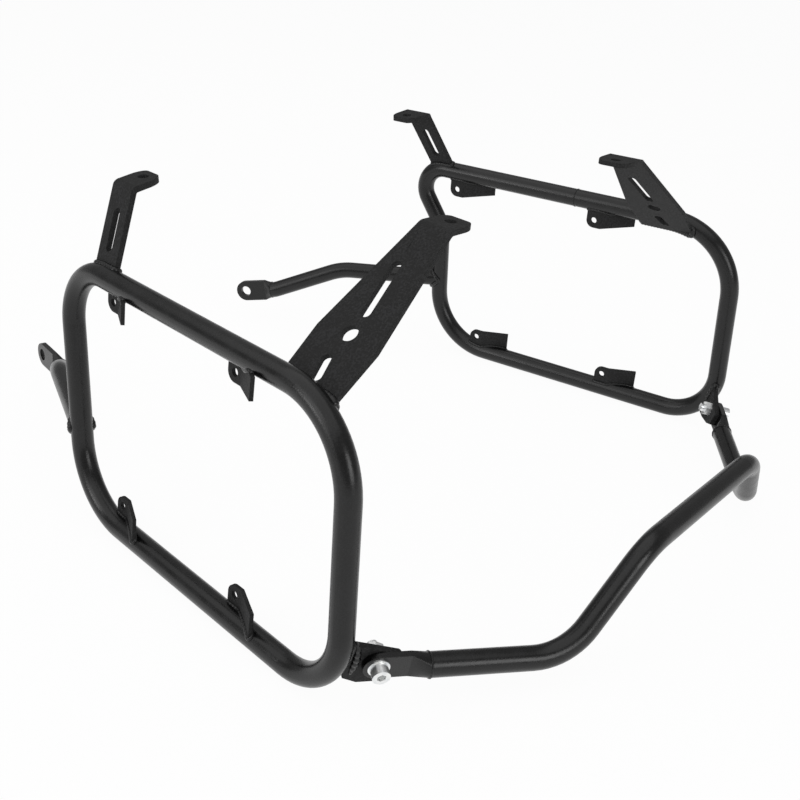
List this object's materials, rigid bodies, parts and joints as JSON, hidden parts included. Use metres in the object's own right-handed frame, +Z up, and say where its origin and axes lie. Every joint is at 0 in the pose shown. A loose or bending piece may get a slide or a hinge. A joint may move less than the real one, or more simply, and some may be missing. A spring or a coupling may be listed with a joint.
{
  "type": "pannier rack",
  "caption": "Black tubular pannier rack for a motorbike: two closed side hoops with mounting straps, tabs and forward arms, joined by a bolted rear crossbar.",
  "frame": {"origin": "middle of the rack at floor level, half way between the crossbar and the arm eyes", "axes": "+Z up, +Y to the front of the motorbike, +X to its right"},
  "size_m": [0.632, 0.6849, 0.3033],
  "materials": {
    "black_coat": "satin powder coat over steel",
    "zinc": "bright zinc plate"
  },
  "bodies": {
    "root": {"left_hoop": "black_coat", "left_front_strap": "black_coat", "left_rear_strap": "black_coat", "left_upper_front_tab": "black_coat", "left_upper_rear_tab": "black_coat", "left_lower_front_tab": "black_coat", "left_lower_rear_tab": "black_coat", "left_support_arm": "black_coat", "left_crossbar_bracket": "black_coat", "right_hoop": "black_coat", "right_front_strap": "black_coat", "right_rear_strap": "black_coat", "right_upper_front_tab": "black_coat", "right_upper_rear_tab": "black_coat", "right_lower_front_tab": "black_coat", "right_lower_rear_tab": "black_coat", "right_support_arm": "black_coat", "right_crossbar_bracket": "black_coat", "rear_crossbar": "black_coat", "bracket_bolts": "zinc", "bracket_washers": "zinc", "bracket_nuts": "zinc"}
  },
  "joints": []
}
